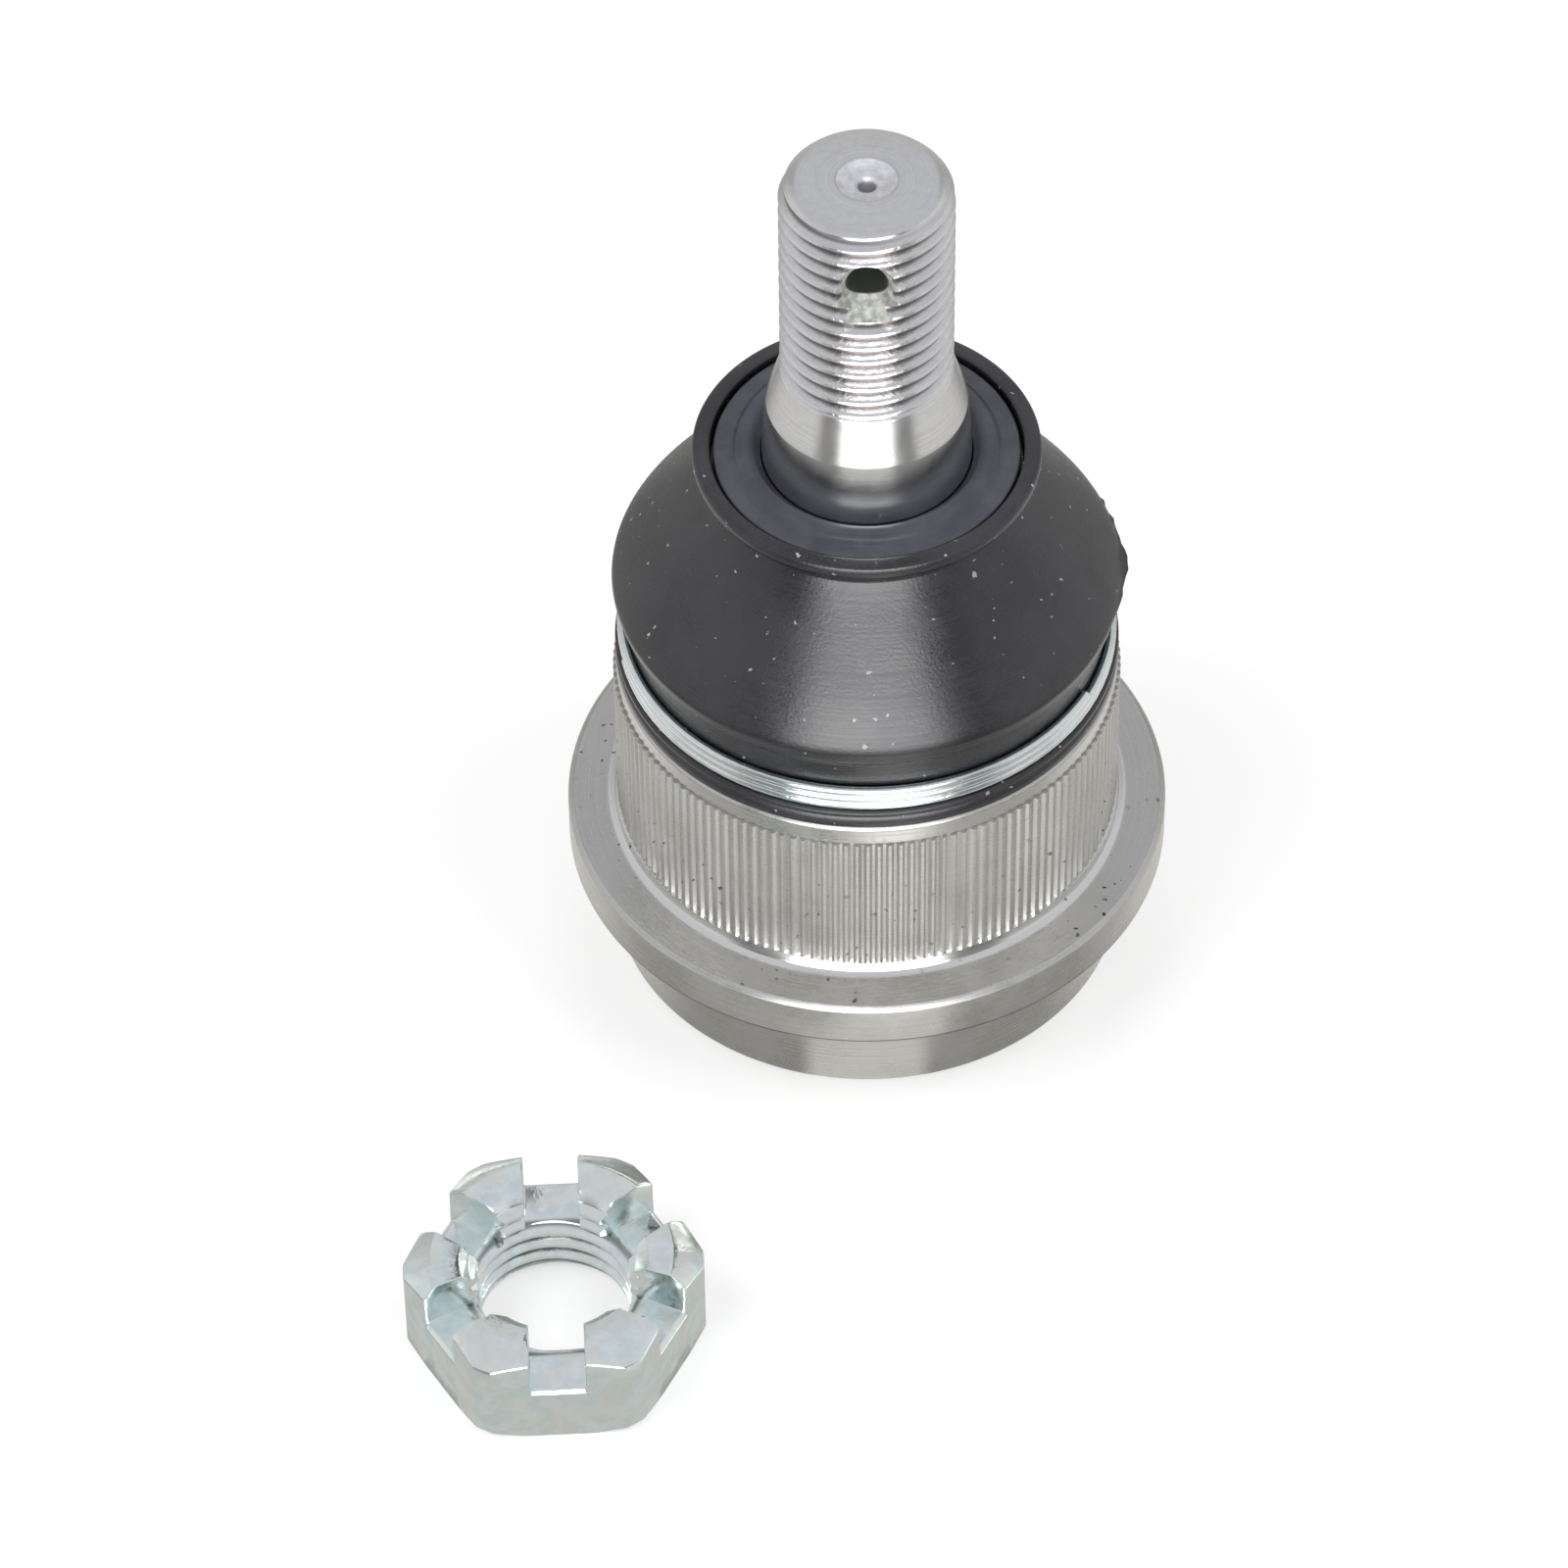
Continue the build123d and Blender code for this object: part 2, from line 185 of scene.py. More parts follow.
# %% Drawing a line
def draw(name, points, closed=False):
    """Extrudes a single vertex from point to point, and leaves the line in edit mode."""
    deselect_all()
    bpy.ops.mesh.primitive_plane_add(size=1)
    piece = bpy.context.object
    piece.name = name
    bpy.ops.object.mode_set(mode="EDIT")
    bpy.ops.mesh.select_mode(type="VERT")
    select_whole_mesh()
    bpy.ops.mesh.merge(type="CENTER")
    route = [Vector(point) for point in points]
    bpy.ops.transform.translate(value=route[0])
    for here, there in zip(route, route[1:] + route[:1] * closed):
        bpy.ops.mesh.extrude_vertices_move(TRANSFORM_OT_translate={"value": there - here})
    select_whole_mesh()
    bpy.ops.mesh.remove_doubles(threshold=MERGE_DISTANCE)
    return piece


# %% Turning on the lathe
def close_shape():
    """Merges what touches, points all faces outwards and leaves edit mode."""
    select_whole_mesh()
    bpy.ops.mesh.remove_doubles(threshold=MERGE_DISTANCE)
    bpy.ops.mesh.normals_make_consistent(inside=False)
    bpy.ops.object.mode_set(mode="OBJECT")


def lathe(name, points, steps):
    """Draws a closed outline of (radius, height) points and spins it about the Z axis."""
    piece = draw(name, [(radius, 0, height) for radius, height in points], closed=True)
    bpy.ops.mesh.spin(steps=steps, angle=FULL_TURN, center=(0, 0, 0), axis=(0, 0, 1))
    close_shape()
    return piece


# %% Cutting, joining and finishing
def combine(piece, tool, operation):
    """Cuts a piece with a tool (DIFFERENCE), adds it (UNION) or trims to it (INTERSECT)."""
    work_on(piece)
    boolean = piece.modifiers.new("combine", "BOOLEAN")
    boolean.operation, boolean.solver, boolean.object = operation, "EXACT", tool
    bpy.ops.object.modifier_apply(modifier=boolean.name)
    bpy.data.objects.remove(tool)


def finish_piece(piece, body, node, smooth_angle=30):
    """Shrinks a piece to metres, shades it and lets it stand for its node on its body."""
    work_on(piece)
    piece.scale = (MM, MM, MM)
    bpy.ops.object.transform_apply(location=False, rotation=True, scale=True)
    bpy.ops.object.shade_smooth_by_angle(angle=radians(smooth_angle))
    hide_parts(node)
    if body:
        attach(piece, body)
    piece.data.calc_loop_triangles()
    print(piece.name, "has", len(piece.data.loop_triangles), "triangles")


def box_mm(node):
    """The lowest and highest corners of a node, in millimetres."""
    low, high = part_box(node)
    return low / MM, high / MM

# %% [markdown]
# ## The housing
#
# The barrel is turned from bar: a plain land under the boot, the part that is pressed into the
# arm, a flange that stops it there and a hub below. The press fit is a straight knurl, rolled in
# by a toothed wheel, so its crests stand above the land and its roots lie below it. The outline
# is spun with four steps for each tooth, which gives crest, flanks and root the same width, and
# the root's vertices are then scaled inwards. Rolled teeth are never all alike, so a few groups
# of them are scaled a little differently.

# %% Housing sizes
housing_low, housing_high = box_mm("housing")
boot_low, boot_high = box_mm("boot")
cover_low, cover_high = box_mm("cover_plate")
crest_radius = mount_sizes["press_body"]["r_mm"]
knurl_length = mount_sizes["press_body"]["length_mm"]
flange_top = mount_places["flange_seat"][2]
root_fillet = 1.0
flange_thickness = 4.4
flange_chamfer = 0.46
hub_radius = crest_radius + 0.5
hub_chamfer = 0.6
land_radius = crest_radius - 0.25
land_chamfer = 0.3
groove_radius = 18.2
spigot_radius = 18.9
spigot_lip = 0.9
bore_radius = 17.0
bearing_shoulder = 10.45
mouth_radius_at_shoulder = 12.34
mouth_radius_at_top = 14.69
cover_seat_radius = cover_high.x + 0.02
crimp_radius = 16.6
crimp_thickness = 1.0
edge_rounding = 0.12

teeth = 148
steps_per_tooth = 4
root_depth = 0.24
root_runout = 0.25
knurl_bottom = flange_top + root_fillet
knurl_top = knurl_bottom + knurl_length
barrel_top = boot_low.z
groove_top = housing_high.z - spigot_lip

# %% Turning the housing
ring_shares = (0, 0.02, 0.2, 0.4, 0.6, 0.8, 1)  # of the knurl's length above its run-out
knurl_rings = [
    knurl_bottom + root_runout + share * (knurl_length - root_runout) for share in ring_shares
]
flange_bottom = flange_top - flange_thickness
flange_radius = housing_high.x
hub_bottom = housing_low.z
lip_bottom = cover_low.z - crimp_thickness
housing_corners = [
    (crimp_radius, cover_low.z, 0),
    (crimp_radius, lip_bottom, edge_rounding),
    (hub_radius - 2.0, hub_bottom, edge_rounding),
    (hub_radius - hub_chamfer, hub_bottom, edge_rounding),
    (hub_radius, hub_bottom + hub_chamfer, edge_rounding),
    (hub_radius, flange_bottom, edge_rounding),
    (flange_radius - 0.3, flange_bottom, edge_rounding),
    (flange_radius, flange_bottom + 0.3, edge_rounding),
    (flange_radius, flange_top - flange_chamfer, edge_rounding),
    (flange_radius - flange_chamfer, flange_top, edge_rounding),
    (crest_radius, flange_top, root_fillet),
    *[(crest_radius, height, 0) for height in knurl_rings],
    (land_radius, knurl_top + 0.08, 0),
    (land_radius, barrel_top - land_chamfer, edge_rounding),
    (land_radius - land_chamfer, barrel_top, edge_rounding),
    (groove_radius, barrel_top, 0),
    (groove_radius, groove_top, 0),
    (spigot_radius, groove_top, 0),
    (spigot_radius, housing_high.z, edge_rounding),
    (mouth_radius_at_top, housing_high.z, 0),
    (mouth_radius_at_shoulder, bearing_shoulder, 0),
    (bore_radius, bearing_shoulder, 0),
    (bore_radius, cover_high.z - 0.8, 0),
    (cover_seat_radius, cover_high.z - 0.8, 0),
    (cover_seat_radius, cover_low.z, 0),
]
housing = lathe("knurled_housing", outline(housing_corners), teeth * steps_per_tooth)
print("housing:", len(housing.data.vertices), "vertices")

# %% Rolling the knurl
tooth_groups = 5
group_depths = [root_depth * share for share in (0.8, 0.9, 1.0, 1.05, 1.1)]
random.seed(148)
group_of_tooth = [random.randrange(tooth_groups) for tooth in range(teeth)]


def in_root_of_group(place, group):
    """Is this place on the knurl's face, in the root of a tooth of that group?"""
    on_face = knurl_bottom + root_runout / 2 < place.z < knurl_top + MERGE_DISTANCE
    if not on_face or hypot(place.x, place.y) < crest_radius - MERGE_DISTANCE:
        return False
    turned = atan2(place.y, place.x) / FULL_TURN % 1
    step = round(turned * teeth * steps_per_tooth) % (teeth * steps_per_tooth)
    return step % steps_per_tooth >= 2 and group_of_tooth[step // steps_per_tooth] == group


for group, depth in enumerate(group_depths):
    edit_selected(housing, lambda place: in_root_of_group(place, group))
    scale = 1 - depth / crest_radius
    bpy.ops.transform.resize(value=(scale, scale, 1), center_override=(0, 0, 0))
finish_piece(housing, "housing", "housing", smooth_angle=24)

# %% [markdown]
# ## The ball stud
#
# The stud is one forging: the ball, a neck, a flared 1:8 taper that seats in the knuckle, and a
# rolled thread with a cross hole for the cotter pin. The thread is a true helix. One pitch of its
# profile is drawn at the thread's radius, and the Screw modifier winds it upwards, so that each
# turn starts where the last one ended. Two flat cuts close it to a rod. The rod is then joined to
# the turned body with a Boolean, and the rounded end, centre mark and cross hole are cut from it
# with turned tools, as a machinist would. A tilted cone cuts a long countersink at both mouths of
# the hole.

# %% Winding a thread
def threaded_rod(name, crest, root, pitch, bottom, top, steps=120, profile_steps=12):
    """A rod with a rolled right-hand thread, round at crest and root, cut flat at both ends."""
    start = bottom - 2.003 * pitch  # the cuts then miss the helix's vertices
    profile = []
    for step in range(profile_steps + 1):
        share = step / profile_steps
        radius = (crest + root) / 2 + (crest - root) / 2 * cos(FULL_TURN * share)
        profile.append((radius, 0, start + pitch * share))
    rod = draw(name, profile)
    bpy.ops.object.mode_set(mode="OBJECT")
    winding = rod.modifiers.new("winding", "SCREW")
    winding.screw_offset = pitch
    winding.iterations = ceil((top - bottom) / pitch) + 4
    winding.steps = winding.render_steps = steps
    winding.use_merge_vertices = True
    winding.merge_threshold = MERGE_DISTANCE
    bpy.ops.object.modifier_apply(modifier=winding.name)
    bpy.ops.object.mode_set(mode="EDIT")
    for height, keep_above in ((bottom, True), (top, False)):
        select_whole_mesh()
        bpy.ops.mesh.bisect(
            plane_co=(0, 0, height),
            plane_no=(0, 0, 1),
            use_fill=True,
            clear_inner=keep_above,
            clear_outer=not keep_above,
        )
    close_shape()
    return rod


# %% Stud sizes
stud_low, stud_high = box_mm("ball_stud")
washer_low, washer_high = box_mm("boot_washer")
thread_radius = mount_sizes["stud_thread"]["r_mm"]
thread_length = mount_sizes["stud_thread"]["length_mm"]
thread_pitch = 1.5
thread_root_radius = thread_radius - 0.6134 * thread_pitch
thread_start = mount_places["stud_thread"][2] - thread_length / 2
thread_end = thread_start + thread_length
taper_top = mount_places["stud_taper"][2]
taper_small_radius = 8.2
taper_slope = 1 / 16
ball_radius = stud_high.x - 0.06  # its facets then clear those of the seat
ball_flat_radius = 4.5
neck_radius = 7.0
neck_joins_ball = 56  # degrees above the ball's equator
neck_top = 18.0
taper_bottom = 23.0
runout_height = 0.9
thread_lead = 0.645  # below the thread's start, which turns the helix
stud_top = stud_high.z
chamfer_depth = 1.1
cotter_height = mount_places["cotter_hole"][2]
cotter_radius = mount_sizes["cotter_hole"]["r_mm"]
cotter_wall = mount_sizes["cotter_hole"]["length_mm"] / 2
centre_mark_radius = 2.55
sink_tilt = 6.0  # degrees downwards
sink_width = 0.8  # of its height, because the tool was moved up and down
sink_length = 4.0
skin = 0.02  # how far the chamfer's tool stands clear of the faces that it leaves alone


def taper_radius(height):
    """Radius of the stud's taper at this height."""
    return taper_small_radius + taper_slope * (taper_top - height)


# %% Turning the stud
ball_flat_angle = asin(ball_flat_radius / ball_radius) / radians(1) - 90
ball_arc = [
    ball_radius * Vector((cos(radians(angle)), sin(radians(angle))))
    for angle in range(round(ball_flat_angle), neck_joins_ball, 5)
]
stud_corners = [
    (neck_radius, 11.3, 0.6),
    (neck_radius, neck_top, 1.5),
    (taper_radius(taper_bottom), taper_bottom, 1.5),
    (taper_small_radius, taper_top, 0.1),
    (thread_radius, thread_start, 0.1),
    (thread_root_radius - 0.1, thread_start + runout_height, 0),
    (0, thread_start + runout_height, 0),
    (0, stud_low.z, 0),
    (ball_flat_radius, stud_low.z, 0),
    (ball_arc[-1].x, ball_arc[-1].y, 0),
]
stud_points = outline(stud_corners)
stud = lathe("threaded_stud", stud_points[:-1] + ball_arc, 128)
rod = threaded_rod(
    "rod", thread_radius, thread_root_radius, thread_pitch, thread_start - thread_lead, stud_top
)
combine(stud, rod, "UNION")

# %% Cutting the stud
chamfer_tool = lathe(
    "chamfer_tool",
    outline(
        [
            (thread_radius + 1, thread_end - 1.2, 0),
            (thread_radius + skin, thread_end - 1.2, 0),
            (thread_radius + skin, thread_end, 0.7),
            (thread_radius - chamfer_depth, stud_top + skin, 0.7),
            (thread_radius - chamfer_depth - 1.5, stud_top + skin, 0),
            (thread_radius - chamfer_depth - 1.5, stud_top + 1, 0),
            (thread_radius + 1, stud_top + 1, 0),
        ],
        arc_steps=6,
    ),
    96,
)
combine(stud, chamfer_tool, "DIFFERENCE")
centre_tool = lathe(
    "centre_tool",
    outline(
        [
            (0, stud_top - 1.2, 0),
            (0.55, stud_top - 1.05, 0.2),
            (0.9, stud_top - 0.55, 0.2),
            (1.65, stud_top - 0.48, 0.3),
            (2.2, stud_top - 0.16, 0.25),
            (centre_mark_radius, stud_top, 0.3),
            (centre_mark_radius + 0.3, stud_top + 0.3, 0),
            (0, stud_top + 0.3, 0),
        ]
    ),
    64,
)
combine(stud, centre_tool, "DIFFERENCE")
reach = thread_radius + 2
cross_tool = lathe(
    "cross_tool", [(0, -reach), (cotter_radius, -reach), (cotter_radius, reach), (0, reach)], 64
)
cross_tool.rotation_euler = (pi / 2, 0, 0)
cross_tool.location = (0, 0, cotter_height)
combine(stud, cross_tool, "DIFFERENCE")
for side in (0, 180):
    sink_end = cotter_radius + sink_length
    sink_tool = lathe(
        "sink_tool", [(0, 0), (cotter_radius, 0), (sink_end, sink_length), (0, sink_length)], 64
    )
    sink_tool.scale.x = sink_width
    sink_tool.rotation_euler = (radians(90 + sink_tilt), 0, radians(side))
    sink_tool.location = (0, -cotter_wall * cos(radians(side)), cotter_height)
    combine(stud, sink_tool, "DIFFERENCE")
finish_piece(stud, "stud", "ball_stud", smooth_angle=28)

# %% [markdown]
# ## The castle nut
#
# A castle nut is sawn from hexagon bar. Its crown is turned to an outer chamfer and dished
# inwards, the bore is tapped, and six slots are milled through the crown for the cotter pin. Here
# a turned blank is tapped by a threaded rod and trimmed to a hexagonal cylinder with Booleans,
# three bars cut the six slots, and a bevel softens the edges as plating does. The nut is modelled
# about its own axis, and is moved to its place at the end.

# %% Nut sizes
nut_low, nut_high = box_mm("castle_nut")
nut_place = Vector((*mount_places["nut_thread"][:2], nut_low.z))
nut_height = nut_high.z - nut_low.z
nut_turn = radians(3.2)
nut_apothem = 11.0
nut_corner_radius = 12.25
nut_bore_radius = mount_sizes["nut_thread"]["r_mm"]
crown_radius = 9.9
crown_slope = tan(radians(32))
dish_radius = 7.6
dish_depth = 0.45
slot_width = 4.5
slot_floor = 5.7
slot_outer_bevel = 0.4
slot_inner_radius = 7.5
slot_inner_drop = 0.6
edge_softness = 0.12
sharp_edge = radians(22)
shortest_edge = 0.095  # outside the dish, where a bevel could not follow shorter ones

# %% Turning and tapping the nut
crown_edge = nut_height - (nut_corner_radius - crown_radius) * crown_slope
dish_height = nut_height - dish_depth
nut = lathe(
    "slotted_nut",
    outline(
        [
            (nut_bore_radius, 0.9, 0),
            (nut_bore_radius + 0.9, 0, 0),
            (nut_corner_radius - 1.0, 0, 0),
            (nut_corner_radius, 0.5, 0),
            (nut_corner_radius, crown_edge, 0),
            (crown_radius, nut_height, 0.3),
            (dish_radius, dish_height, 0.2),
            (nut_bore_radius, dish_height - (dish_radius - nut_bore_radius), 0),
        ],
        arc_steps=2,
    ),
    120,
)
tap = threaded_rod(
    "tap", thread_radius + 0.05, nut_bore_radius - 0.1, thread_pitch, -1, nut_height + 1, 96
)
combine(nut, tap, "DIFFERENCE")
deselect_all()
bpy.ops.mesh.primitive_cylinder_add(
    vertices=6,
    radius=nut_apothem / cos(radians(30)),
    depth=4 * nut_height,
    rotation=(0, 0, radians(30)),
)
combine(nut, bpy.context.object, "INTERSECT")

# %% Milling the slots
bar_reach = nut_corner_radius + 2
bar_end = nut_apothem - slot_outer_bevel
bar_floor = [
    (nut_bore_radius, slot_floor - slot_inner_drop),
    (slot_inner_radius, slot_floor),
    (bar_end, slot_floor),
    (bar_reach, slot_floor - (bar_reach - bar_end)),
    (bar_reach, nut_height + 1),
]
bar_profile = [(-along, height) for along, height in bar_floor[::-1]] + bar_floor
for slot_angle in (30, 90, 150):
    bar = draw("slot_bar", [(along, 0, height) for along, height in bar_profile], closed=True)
    bpy.ops.mesh.edge_face_add()
    bpy.ops.mesh.extrude_region_move(TRANSFORM_OT_translate={"value": (0, slot_width, 0)})
    close_shape()
    bar.rotation_euler.z = radians(slot_angle)
    bar.location = Vector((0, -slot_width / 2, 0))
    bar.location.rotate(bar.rotation_euler)
    combine(nut, bar, "DIFFERENCE")

# %% Softening and placing the nut
edit_selected(nut, lambda place: hypot(*place.xy) > dish_radius)
bpy.ops.mesh.remove_doubles(threshold=shortest_edge)
select_whole_mesh()
bpy.ops.mesh.dissolve_limited(angle_limit=radians(0.5))
bpy.ops.mesh.quads_convert_to_tris(quad_method="BEAUTY", ngon_method="BEAUTY")
bpy.ops.mesh.select_all(action="DESELECT")
bpy.ops.mesh.select_mode(type="EDGE")
bpy.ops.mesh.edges_select_sharp(sharpness=sharp_edge)
nut_mesh = bmesh.from_edit_mesh(nut.data)
for edge in nut_mesh.edges:
    if min(hypot(*vertex.co.xy) for vertex in edge.verts) < thread_radius + 0.15:
        edge.select = False
bmesh.update_edit_mesh(nut.data)
bpy.ops.mesh.bevel(offset=edge_softness, segments=2, affect="EDGES", loop_slide=False)
close_shape()
work_on(nut)
nut.location = nut_place
nut.rotation_euler.z = nut_turn
bpy.ops.object.transform_apply(location=True, rotation=True, scale=False)
finish_piece(nut, "nut", "castle_nut", smooth_angle=28)

# %% [markdown]
# ## The clamp ring
#
# The boot's base is held in its groove by a coil of round wire, nearly two and a half turns that
# lie on each other. A coil drawn as rings would show no ends and no crossing from one turn to the
# next. So the wire's line is drawn point by point by a loop: each turn lies flat for a while and
# then steps down by one wire. The line becomes a curve, whose bevel gives it the wire's
# thickness and its closed ends, and then a mesh again.

# %% Clamp ring sizes
ring_low, ring_high = box_mm("boot_clamp_ring")
wire_radius = 0.425
wire_pitch = 0.8
coil_radius = ring_high.x - wire_radius
wire_start = radians(-28)
wire_degrees = 860
wire_step = 4  # degrees
flat_degrees = 140


def wire_drop(degrees):
    """How far the wire's middle has come down after so many degrees, in millimetres."""
    turns, within = divmod(degrees, 360)
    return wire_pitch * (turns + max(0, within - flat_degrees) / (360 - flat_degrees))


# %% Winding the clamp ring
wire_line = []
for degrees in range(0, wire_degrees + 1, wire_step):
    heading = wire_start - radians(degrees)
    height = ring_high.z - wire_radius - wire_drop(degrees)
    wire_line.append((coil_radius * cos(heading), coil_radius * sin(heading), height))
wire = draw("clamp_wire", wire_line)
bpy.ops.object.mode_set(mode="OBJECT")
bpy.ops.object.convert(target="CURVE")
wire = bpy.context.object
wire.data.bevel_depth = wire_radius
wire.data.bevel_resolution = 4
wire.data.use_fill_caps = True
bpy.ops.object.convert(target="MESH")
wire = bpy.context.object
finish_piece(wire, "housing", "boot_clamp_ring", smooth_angle=50)

# %% [markdown]
# ## The boot
#
# The boot keeps grease in and dirt out. It is moulded rubber: a bead on the barrel, a groove for
# the clamp ring, a band, a dome that folds as the stud swings, and a collar with a rounded rim.
# It is one closed outline, turned like the metal parts, with a Bezier curve for the dome. Its
# mould opens at the widest ring, where a little rubber squeezes out and is torn off. A rest of
# that torn edge is made from a few vertices of the ring, pushed out by uneven amounts.

# %% Boot sizes
clamp_radius = coil_radius - wire_radius
bead_top = ring_low.z
clamp_top = ring_high.z
bead_crease = 1.2  # above the bead's foot
band_radius = 20.0
band_top = 17.05
shoulder_radius = boot_high.x
shoulder_height = 19.15
dome_rise = 1.7
collar_radius = 12.6
collar_height = boot_high.z - 3.0
rim_radius = 14.2
rim_thickness = 1.2
boot_mouth_radius = 12.75
washer_seat = washer_low.z - 0.3
lip_radius = taper_radius(washer_seat) + 0.3
boot_steps = 180
flash_half_height = 0.08
flash_degrees = range(-14, 24, 360 // boot_steps)
flash_thickest = 2  # degrees
flash_spread = 9  # degrees to each side of its thickest place


def bezier(corners, steps):
    """Points of the Bezier curve through the first and last of four corners."""
    points = []
    for step in range(steps + 1):
        share = step / steps
        line = [Vector(corner) for corner in corners]
        while len(line) > 1:
            line = [here.lerp(there, share) for here, there in zip(line, line[1:])]
        points.append(line[0])
    return points


# %% Moulding the boot
dome = bezier(
    [
        (shoulder_radius, shoulder_height),
        (shoulder_radius, shoulder_height + dome_rise),
        (collar_radius + 0.3, collar_height - 1.0),
        (collar_radius, collar_height),
    ],
    26,
)
lower_corners = [
    (groove_radius + 0.05, barrel_top, 0),
    (land_radius, barrel_top, 0.25),
    (land_radius, barrel_top + bead_crease - 0.2, 0),
    (land_radius - 0.18, barrel_top + bead_crease, 0.05),
    (land_radius, barrel_top + bead_crease + 0.2, 0),
    (land_radius, bead_top, 0.25),
    (clamp_radius, bead_top, 0.1),
    (clamp_radius, clamp_top, 0.05),
    (band_radius, clamp_top, 0.05),
    (band_radius, band_top, 0.3),
    (band_radius + 0.3, band_top + 0.45, 0.25),
    (shoulder_radius - 0.25, band_top + 0.9, 0.3),
    (shoulder_radius, shoulder_height - flash_half_height, 0),
    (shoulder_radius, shoulder_height, 0),
]
upper_corners = [
    (collar_radius, collar_height, 0),
    (collar_radius + 0.25, collar_height + 0.6, 0.3),
    (rim_radius, boot_high.z - rim_thickness, 0.4),
    (rim_radius, boot_high.z, 0.45),
    (boot_mouth_radius, boot_high.z, 0.35),
    (boot_mouth_radius, washer_seat, 0.1),
    (lip_radius, washer_seat, 0.1),
    (lip_radius, washer_seat - 1.6, 0),
    (collar_radius - 2.2, collar_height - 2.2, 0),
    (spigot_radius + 0.05, shoulder_height, 0),
    (spigot_radius + 0.05, groove_top - 0.05, 0),
    (groove_radius + 0.05, groove_top - 0.05, 0),
]
boot_points = outline(lower_corners)[:-1] + dome[:-1] + outline(upper_corners)
boot = lathe("rubber_boot", boot_points, boot_steps)

# %% The torn mould line
random.seed(31)
for degrees in flash_degrees:
    outwards = Vector((cos(radians(degrees)), sin(radians(degrees)), 0))
    spot = shoulder_radius * outwards + Vector((0, 0, shoulder_height))
    edit_selected(boot, lambda place: (place - spot).length < flash_half_height / 2)
    swell = max(0, 1 - abs(degrees - flash_thickest) / flash_spread)
    tear = random.uniform(0.06, 0.28) + 0.4 * swell
    bpy.ops.transform.translate(value=tear * outwards)
finish_piece(boot, None, "boot", smooth_angle=50)
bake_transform(boot)

# %% [markdown]
# ## The washer in the boot's mouth
#
# A hard rubber washer closes the boot round the taper. It lies in the mouth, and a soft roll runs
# round it close to the stud.

# %% The washer
washer_play = 0.1  # round the taper
roll_width = 1.3
washer_face = washer_low.z + 1.1
roll_radius = taper_radius(washer_face) + washer_play + roll_width
washer = lathe(
    "mouth_washer",
    outline(
        [
            (taper_radius(washer_low.z) + washer_play, washer_low.z, 0),
            (taper_radius(washer_face) + washer_play, washer_face - 0.15, 0),
            (roll_radius - 1.0, washer_face + 0.1, 0.15),
            (roll_radius - 0.5, washer_high.z, 0.42),
            (roll_radius + 0.5, washer_high.z, 0.42),
            (roll_radius + 1.05, washer_face, 0.35),
            (washer_high.x, washer_face, 0.25),
            (washer_high.x, washer_low.z, 0.1),
        ],
        arc_steps=6,
    ),
    144,
)
finish_piece(washer, "boot_mouth", "boot_washer", smooth_angle=50)

# %% [markdown]
# ## Patterns that the finishes share
#
# No real surface is one flat colour. Turned steel carries fine rings from the tool, all of it has
# cleaner and duller patches, and small specks of dust and swarf stick to oil and rubber. Each of
# these three is built once as a node group that gives a mask from 0 to 1, and each material
# places it with its own scale. They read a place in millimetres, measured from the piece's own
# axis, so a pattern stays on its piece when the piece moves.

# %% Adding nodes
def add(kind, inputs, output=0, tree=None, **settings):
    """Adds a shader node to the tree of its input sockets, and gives back one of its outputs."""
    sockets = [value for value in inputs.values() if isinstance(value, bpy.types.NodeSocket)]
    tree = tree or sockets[0].id_data
    node = tree.nodes.new("ShaderNode" + kind)
    for name, value in settings.items():
        setattr(node, name, value)
    for socket, value in inputs.items():
        if isinstance(value, bpy.types.NodeSocket):
            tree.links.new(value, node.inputs[socket])
        else:
            node.inputs[socket].default_value = value
    return node.outputs[output]


def link(node, **results):
    """Links results to the node's inputs of the same names."""
    for name, result in results.items():
        node.id_data.links.new(result, node.inputs[name.replace("_", " ")])


def calculate(operation, first, second=0.0):
    """The result of a Math node."""
    return add("Math", {0: first, 1: second}, operation=operation)


def product(first, *others):
    """The product of two or more values."""
    for other in others:
        first = calculate("MULTIPLY", first, other)
    return first


def ramp(value, start, end, low=0.0, high=1.0):
    """Turns a value between start and end smoothly into one between low and high."""
    inputs = {"Value": value, 1: start, 2: end, 3: low, 4: high}
    return add("MapRange", inputs, interpolation_type="SMOOTHSTEP")


def band(value, start, full, still_full, end):
    """A mask that rises from start to full, and falls again from still_full to end."""
    return product(ramp(value, start, full), ramp(value, end, still_full))


def blend_colors(mask, first, second):
    """The first colour where the mask is 0, and the second where it is 1."""
    return add("Mix", {0: mask, 6: first, 7: second}, output=2, data_type="RGBA")


def layer_colors(color, *layers):
    """Lays layers over a colour, each one a mask, how well it covers, and its own colour."""
    for mask, cover, layer_color in layers:
        color = blend_colors(product(mask, cover), color, layer_color)
    return color


def start_group(name, numbers, outputs):
    """A node group that takes a place and some numbers; gives the group, its inputs by name."""
    group = bpy.data.node_groups.new(name, "ShaderNodeTree")
    group.interface.new_socket(name="Place", in_out="INPUT", socket_type="NodeSocketVector")
    for number in numbers:
        group.interface.new_socket(name=number, in_out="INPUT", socket_type="NodeSocketFloat")
    for output in outputs:
        group.interface.new_socket(name=output, in_out="OUTPUT", socket_type="NodeSocketFloat")
    return group, group.nodes.new("NodeGroupInput").outputs


def end_group(group, **results):
    """Links the results to the group's outputs."""
    link(group.nodes.new("NodeGroupOutput"), **results)


